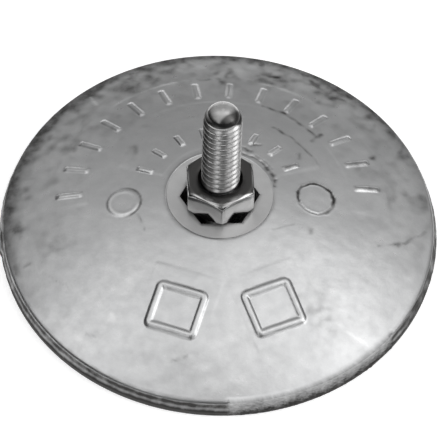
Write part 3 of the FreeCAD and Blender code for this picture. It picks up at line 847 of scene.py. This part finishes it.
def plated_steel():
    """The hub: smooth dull plating with faint clouding, and painted shade darkening it down into the
    pocket.
    """
    finish, tree, shader, place = metal_finish("plated_steel")
    cloud = noise(tree, place, 0.35, detail=4.0)
    grain = noise(tree, place, 7.0, detail=2.0)
    height = parts(tree, place)[2]
    tone = mixed(tree, rescaled(tree, cloud, 0.3, 0.7, 0, 1), grey(0.6), grey(0.68))
    tone = mixed(tree, rescaled(tree, grain, 0.45, 0.8, 0, 0.15), tone, grey(0.35))
    # Painted shade down the pocket's walls to its floor.
    inside = rescaled(tree, height, POCKET_FLOOR, LAND_HEIGHT - 0.3, 1, 0)
    tone = mixed(tree, inside, tone, grey(0.07, 0.03))
    dull = rescaled(tree, cloud, 0.3, 0.7, 0.36, 0.44)
    join(tree, shader, Base_Color=tone, Roughness=dull, Normal=bumped(tree, grain, 0.004))
    return finish


def bolt_steel():
    """The bolt: bright rolled thread, with painted shade between the crests, down its left side and on its
    end.
    """
    finish, tree, shader, place = metal_finish("bolt_steel")
    cloud = noise(tree, place, 0.8, detail=4.0)
    grain = noise(tree, place, 6.0, detail=3.0)
    tone = mixed(tree, rescaled(tree, cloud, 0.3, 0.7, 0, 1), grey(0.66, 0.005), grey(0.78, 0.005))
    tone = mixed(tree, rescaled(tree, grain, 0.5, 0.8, 0, 0.25), tone, grey(0.35))
    bolt_shade = painted(tree, "bolt_shade")
    # Painted shade between the crests, down the left side and on the end.
    tone = mixed(tree, rescaled(tree, bolt_shade, 0.25, 0.9, 0, 0.95), tone, grey(0.07, 0.02))
    dull = rescaled(tree, cloud, 0.3, 0.7, 0.27, 0.33)
    join(tree, shader, Base_Color=tone, Roughness=dull, Normal=bumped(tree, grain, 0.003))
    return finish


def nut_steel():
    """The nut: polished steel with faint clouding, a painted dark reflection on its top and painted shade
    inside it.
    """
    finish, tree, shader, place = metal_finish("nut_steel")
    cloud = noise(tree, place, 0.6, detail=4.0)
    grain = noise(tree, place, 8.0, detail=2.0)
    tone = mixed(tree, rescaled(tree, cloud, 0.3, 0.7, 0, 1), grey(0.45, 0.004), grey(0.55, 0.004))
    nut_reflection_and_shade = painted(tree, "nut_reflection_and_shade")
    # Painted dark reflection on the top, and darker painted shade inside.
    tone = mixed(tree, rescaled(tree, nut_reflection_and_shade, 0.0, 0.9, 0, 1), tone, grey(0.085, 0.02))
    tone = mixed(tree, rescaled(tree, nut_reflection_and_shade, 0.9, 1.0, 0, 1), tone, grey(0.02, 0.02))
    dull = rescaled(tree, cloud, 0.3, 0.7, 0.1, 0.17)
    dull = maths(tree, "ADD", dull, rescaled(tree, nut_reflection_and_shade, 0.0, 1.0, 0, 0.2))
    join(tree, shader, Base_Color=tone, Roughness=dull, Normal=bumped(tree, grain, 0.0015))
    return finish


# Floor, light and camera.

# The floor, in metres: half its width, its height, and how far out it is white and then grey.
FLOOR_HALF, FLOOR_HEIGHT = 3.0, -0.05 * MM
WHITE_TO, GREY_FROM = 0.064, 0.16


def pale_floor():
    """A sheet under the part, as wide as any view of it needs: white and glowing near it, a painted pool of
    light, and pale grey farther out.
    """
    half, low = FLOOR_HALF, FLOOR_HEIGHT
    mesh = bpy.data.meshes.new("pale_floor")
    corners = [(-half, -half, low), (half, -half, low), (half, half, low), (-half, half, low)]
    mesh.from_pydata(corners, [], [(0, 1, 2, 3)])
    floor = bpy.data.objects.new("pale_floor", mesh)
    bpy.context.scene.collection.objects.link(floor)
    finish = bpy.data.materials.new("pale_floor")
    finish.use_nodes = True
    tree = finish.node_tree
    shader = tree.nodes["Principled BSDF"]
    shader.inputs["Roughness"].default_value = 0.9
    place = add(tree, "TexCoord", out="Object")
    away = add(tree, "VectorMath", place, out="Value", settings={"operation": "LENGTH"})
    near = smooth_share(tree, away, GREY_FROM, WHITE_TO)
    tree.links.new(mixed(tree, near, grey(0.55), grey(0.9)), shader.inputs["Base Color"])
    rays = tree.nodes.new("ShaderNodeLightPath").outputs
    seen = maths(tree, "MAXIMUM", rays["Is Camera Ray"], rays["Is Glossy Ray"])
    seen = maths(tree, "MAXIMUM", seen, rays["Is Transmission Ray"])
    fill = maths(tree, "MULTIPLY", seen, rescaled(tree, near, 0.0, 1.0, 0.25, 0.6))
    shader.inputs["Emission Color"].default_value = grey(1.0)
    tree.links.new(fill, shader.inputs["Emission Strength"])
    floor.data.materials.append(finish)


def heading(azimuth, elevation):
    """The direction of an azimuth and an elevation in degrees, with length 1."""
    turn, rise = math.radians(azimuth), math.radians(elevation)
    return Vector((math.cos(turn) * math.cos(rise), math.sin(turn) * math.cos(rise), math.sin(rise)))


# Brightness of the studio from front to back, by a direction's y.
TENT_BY_DEPTH = [
    (-1.0, 0.1), (-0.44, 0.12), (-0.32, 0.28), (-0.18, 1.12), (-0.05, 1.4), (0.12, 1.24), (0.28, 0.92),
    (0.38, 0.83), (0.5, 0.56), (0.6, 0.54), (0.75, 0.5), (0.9, 0.43), (1.0, 0.4),
]
# Share of it that is left towards the floor, by a direction's z.
TENT_BY_RISE = [(0.0, 0.12), (0.15, 0.3), (0.35, 0.85), (0.5, 1.0)]
# Share of it from left to right, by a direction's x.
TENT_BY_SIDE = [
    (-1.0, 0.05), (-0.78, 0.08), (-0.58, 0.93), (-0.42, 1.03), (-0.25, 0.83), (0.0, 0.94), (0.2, 0.97),
    (0.4, 1.04), (0.56, 1.1), (0.7, 0.75), (0.88, 0.35), (1.0, 0.25),
]
# Panels as (azimuth, elevation, inner radius, outer radius, light added), the angles in degrees.
PANELS = [
    (25, 58, 4, 20, 0.1),
    (237, 57, 4, 13, 1.05),
    (242, 41, 4, 12, 0.95),
    (307, 57, 7, 14, 0.6),
    (313, 42, 6, 15, 0.65),
    (348, 46, 8, 15, 1.4),
    (347, 30, 8, 17, 1.2),
    (72, 2, 3, 13, 0.65),
    (108, 2, 3, 13, 0.65),
    (90, 0, 3, 11, 0.9),
]


def levels(tree, value, low, stops):
    """A number read off smooth steps through stops, each a value from low to 1 and its number."""
    ramp = tree.nodes.new("ShaderNodeValToRGB")
    ramp.color_ramp.interpolation = "EASE"
    share = add(tree, "MapRange", value, low, 1.0, 0.0, 1.0)
    tree.links.new(share, ramp.inputs[0])
    line = ramp.color_ramp.elements
    while len(line) < len(stops):
        line.new(0.5)
    for stop, (place, level) in zip(line, stops):
        stop.position = (place - low) / (1 - low)
        stop.color = grey(level)
    return add(tree, "RGBToBW", ramp.outputs[0])


def studio_world():
    """A tent of soft light, brighter overhead and dark in front, with panels of light in it."""
    world = bpy.data.worlds.new("studio")
    world.use_nodes = True
    bpy.context.scene.world = world
    tree = world.node_tree
    towards = add(tree, "TexCoord", out="Generated")
    towards = add(tree, "VectorMath", towards, settings={"operation": "NORMALIZE"})
    aside, away, rise = parts(tree, towards)
    light = levels(tree, away, -1.0, TENT_BY_DEPTH)
    light = maths(tree, "MULTIPLY", light, levels(tree, rise, 0.0, TENT_BY_RISE))
    light = maths(tree, "MULTIPLY", light, levels(tree, aside, -1.0, TENT_BY_SIDE))
    for azimuth, elevation, inner, outer, level in PANELS:
        facing = add(tree, "VectorMath", towards, heading(azimuth, elevation),
                     out="Value", settings={"operation": "DOT_PRODUCT"})
        edge, core = math.cos(math.radians(outer)), math.cos(math.radians(inner))
        glow = maths(tree, "MULTIPLY", smooth_share(tree, facing, edge, core), level)
        light = maths(tree, "ADD", light, glow)
    background = tree.nodes["Background"]
    background.inputs["Color"].default_value = grey(1.0)
    tree.links.new(light, background.inputs["Strength"])


def soft_lamp(name, azimuth, elevation, distance, width, height, level):
    """A rectangular lamp that faces the part, in metres and degrees. Level 1 is a white face."""
    data = bpy.data.lights.new(name, "AREA")
    data.shape = "RECTANGLE"
    data.size, data.size_y = width, height
    data.energy = level * math.pi * width * height
    lamp = bpy.data.objects.new(name, data)
    away = heading(azimuth, elevation)
    lamp.location = away * distance
    lamp.rotation_euler = away.to_track_quat("Z", "Y").to_euler()
    bpy.context.scene.collection.objects.link(lamp)


IMAGE_WIDTH, IMAGE_HEIGHT = 440, 431
CAMERA_DISTANCE = 700.0
CAMERA_ELEVATION = math.radians(53.7)
CAMERA_ROLL = math.radians(2.3)
PIXELS_PER_MM = 6.111
ORIGIN_PIXEL = (218.2, 235.1)
SENSOR_WIDTH = 36.0


def studio_camera():
    """The camera: high in front, rolled a little, with the origin where the photograph has it."""
    rise = CAMERA_ELEVATION
    back = Vector((0, -math.cos(rise), math.sin(rise)))
    level, upright = Vector((1, 0, 0)), Vector((0, math.sin(rise), math.cos(rise)))
    right = level * math.cos(CAMERA_ROLL) + upright * math.sin(CAMERA_ROLL)
    up = upright * math.cos(CAMERA_ROLL) - level * math.sin(CAMERA_ROLL)
    aim_right = (IMAGE_WIDTH / 2 - ORIGIN_PIXEL[0]) / PIXELS_PER_MM
    aim_up = (ORIGIN_PIXEL[1] - IMAGE_HEIGHT / 2) / PIXELS_PER_MM
    data = bpy.data.cameras.new("camera")
    data.sensor_width = SENSOR_WIDTH
    data.lens = SENSOR_WIDTH * PIXELS_PER_MM * CAMERA_DISTANCE / IMAGE_WIDTH
    data.clip_start, data.clip_end = 0.01, 20.0
    camera = bpy.data.objects.new("camera", data)
    place = (back * CAMERA_DISTANCE + right * aim_right + up * aim_up) * MM
    turn = Matrix((right, up, back)).transposed()
    camera.matrix_world = Matrix.Translation(place) @ turn.to_4x4()
    bpy.context.scene.collection.objects.link(camera)
    bpy.context.scene.camera = camera


dress(zinc_disc(), "anode_casting", cast_zinc())
dress(steel_hub(), "hub_insert", plated_steel())
dress(threaded_bolt(), "hex_bolt", bolt_steel())
dress(hexagon_nut(), "hex_nut", nut_steel())
pale_floor()
studio_world()
soft_lamp("key_lamp", azimuth=25, elevation=58, distance=0.9, width=0.34, height=0.27, level=0.3)
studio_camera()
bpy.context.scene.view_settings.view_transform = "Standard"
